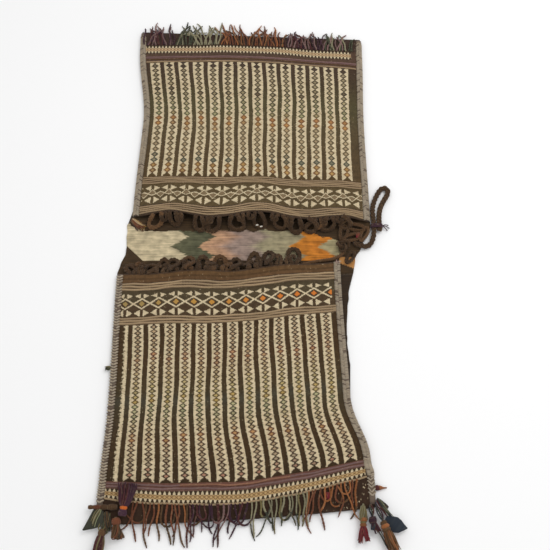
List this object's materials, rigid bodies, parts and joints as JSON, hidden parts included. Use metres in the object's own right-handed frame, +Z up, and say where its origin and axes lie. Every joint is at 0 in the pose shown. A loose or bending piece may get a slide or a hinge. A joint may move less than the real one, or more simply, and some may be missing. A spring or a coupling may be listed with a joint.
{
  "type": "saddle bag",
  "caption": "Woven double saddle bag lying flat: folded cloth pouches joined by a bridge, with striped faces, bound sides, closure loops, fringes, tassels and a lead rope.",
  "frame": {"origin": "on the underside of the bridge, at its middle", "axes": "+X across the bag, +Y along it towards the upper pouch, +Z up from the floor it lies on"},
  "size_m": [0.6806, 1.3687, 0.0391],
  "materials": {
    "cloth": "flat-woven wool with raised cream stripes",
    "binding": "overcast wool braid",
    "goat_hair": "plaited dark goat hair",
    "mauve_yarn": "plied wool yarn",
    "grey_green_yarn": "plied wool yarn",
    "orange_yarn": "plied wool yarn",
    "purple_yarn": "plied wool yarn",
    "dark_green_yarn": "plied wool yarn",
    "rust_yarn": "plied wool yarn",
    "crimson_yarn": "plied wool yarn",
    "maroon_yarn": "plied wool yarn",
    "teal_felt": "felted wool"
  },
  "bodies": {
    "root": {"upper_face": "cloth", "lower_face": "cloth", "back_panel": "cloth", "upper_left_binding": "binding", "upper_right_binding": "binding", "lower_left_binding": "binding", "lower_right_binding": "binding", "upper_loop_1": "goat_hair", "upper_loop_2": "goat_hair", "upper_loop_3": "goat_hair", "upper_loop_4": "goat_hair", "upper_loop_5": "goat_hair", "upper_loop_6": "goat_hair", "upper_loop_7": "goat_hair", "upper_loop_8": "goat_hair", "upper_loop_9": "goat_hair", "upper_loop_10": "goat_hair", "upper_loop_11": "goat_hair", "lower_loop_1": "goat_hair", "lower_loop_2": "goat_hair", "lower_loop_3": "goat_hair", "lower_loop_4": "goat_hair", "lower_loop_5": "goat_hair", "lower_loop_6": "goat_hair", "lower_loop_7": "goat_hair", "lower_loop_8": "goat_hair", "lower_loop_9": "goat_hair", "lower_loop_10": "goat_hair", "lower_loop_11": "goat_hair", "upper_fringe_mauve": "mauve_yarn", "upper_fringe_grey_green": "grey_green_yarn", "upper_fringe_orange": "orange_yarn", "upper_fringe_purple": "purple_yarn", "upper_fringe_dark_green": "dark_green_yarn", "lower_fringe_rust": "rust_yarn", "lower_fringe_purple": "purple_yarn", "lower_fringe_grey_green": "grey_green_yarn", "lower_fringe_orange": "orange_yarn", "left_purple_tassel": "purple_yarn", "left_wrapped_cord": "rust_yarn", "left_green_tassel": "dark_green_yarn", "left_maroon_tassel": "maroon_yarn", "left_rust_tassel": "rust_yarn", "right_crimson_tassel": "crimson_yarn", "right_knob_tassel": "purple_yarn", "right_orange_tassel": "orange_yarn", "right_teal_tassel": "teal_felt", "left_edge_tuft": "dark_green_yarn", "right_wrapped_tip": "orange_yarn", "red_tuft": "crimson_yarn", "corner_thread_bundle": "crimson_yarn", "bridge_knot": "goat_hair", "lower_mouth_cord": "goat_hair", "lead_rope": "goat_hair", "rope_seizing": "purple_yarn"}
  },
  "joints": []
}
